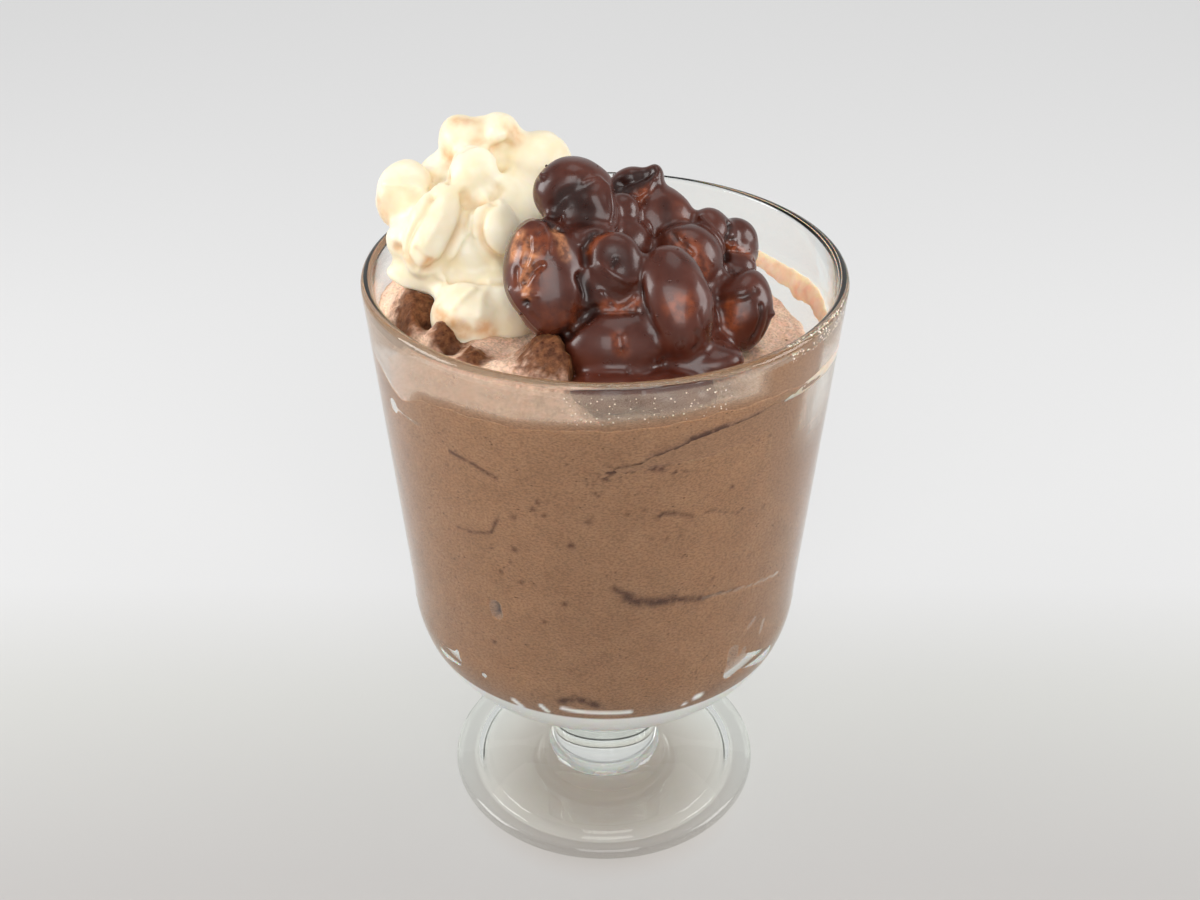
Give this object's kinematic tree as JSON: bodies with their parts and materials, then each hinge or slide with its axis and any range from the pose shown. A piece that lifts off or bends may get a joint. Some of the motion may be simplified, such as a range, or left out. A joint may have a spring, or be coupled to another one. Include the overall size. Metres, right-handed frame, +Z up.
{
  "type": "chocolate mousse",
  "caption": "Chocolate mousse in a short-footed dessert glass, topped with a white and a dark chocolate nut cluster.",
  "frame": {"origin": "middle of the foot's underside, where the glass stands", "axes": "+Z up along the glass's axis; the white chocolate cluster lies towards -X, and the front of both clusters towards -Y"},
  "size_m": [0.086, 0.086, 0.1391],
  "materials": {
    "clear_glass": "clear, polished",
    "chocolate_mousse": "matt, airy",
    "smeared_mousse": "matt, thin",
    "white_chocolate": "satin",
    "dark_chocolate": "glossy"
  },
  "bodies": {
    "root": {"glass": "clear_glass", "mousse": "chocolate_mousse", "mousse_smear": "smeared_mousse", "white_cluster": "white_chocolate", "dark_cluster": "dark_chocolate"}
  },
  "joints": []
}
